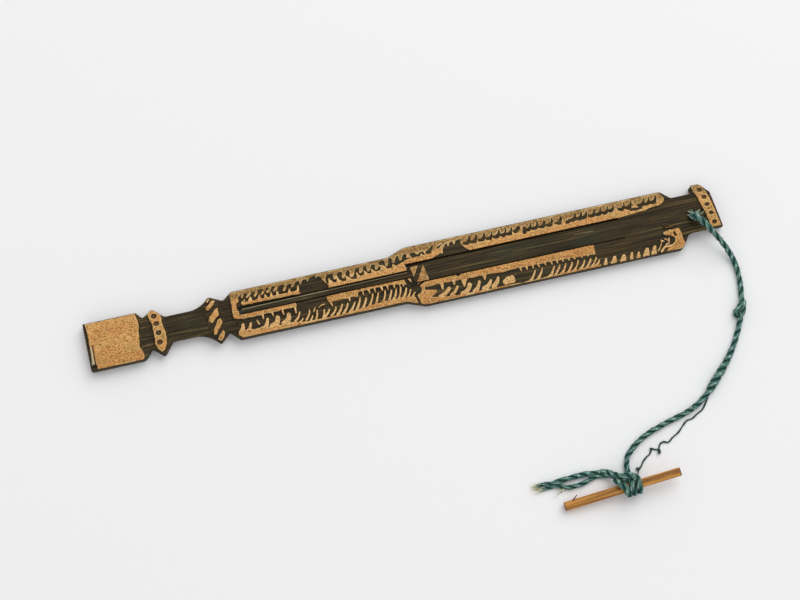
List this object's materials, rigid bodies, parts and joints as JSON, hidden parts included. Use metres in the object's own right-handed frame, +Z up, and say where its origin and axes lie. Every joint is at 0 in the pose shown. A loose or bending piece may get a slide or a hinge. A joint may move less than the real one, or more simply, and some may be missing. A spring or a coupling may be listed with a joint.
{
  "type": "jaw harp",
  "caption": "String-pulled bamboo jaw harp with a carved frame, a sprung tongue cut free inside it, a knotted pull cord and a wooden toggle stick.",
  "frame": {"origin": "on the table under the middle of the bamboo strip, which lies on its back", "axes": "+X along the strip from the grip end to the cord end, +Y across it away from the toggle, +Z up out of the carved rind"},
  "size_m": [0.2039, 0.091, 0.0088],
  "materials": {
    "rind": "worn bamboo rind, carved and stained",
    "ground": "scraped bamboo, stained dark",
    "cord": "green laid cord",
    "stick": "split bamboo, bare",
    "thread": "dark green yarn"
  },
  "bodies": {
    "harp": {"frame": "rind", "stopper_knot": "cord", "pull_cord": "cord", "cord_knot": "cord", "loose_thread": "thread"},
    "reed": {"tongue": "ground"},
    "toggle": {"toggle_knot": "cord", "toggle_stick": "stick", "cord_tail_upper": "cord", "cord_tail_lower": "cord"}
  },
  "joints": [
    {"name": "tongue_flex", "type": "hinge", "parent": "harp", "child": "reed", "pos_m": [0.06937, 0.0008, 0.00325], "axis": [0, 1, 0], "range_deg": [-3, 3], "stiffness_Nm_per_rad": 0.4},
    {"name": "toggle_swing", "type": "hinge", "parent": "harp", "child": "toggle", "pos_m": [0.05375, -0.07404, 0.00093], "axis": [0, 0, 1], "range_deg": [-40, 30]}
  ]
}
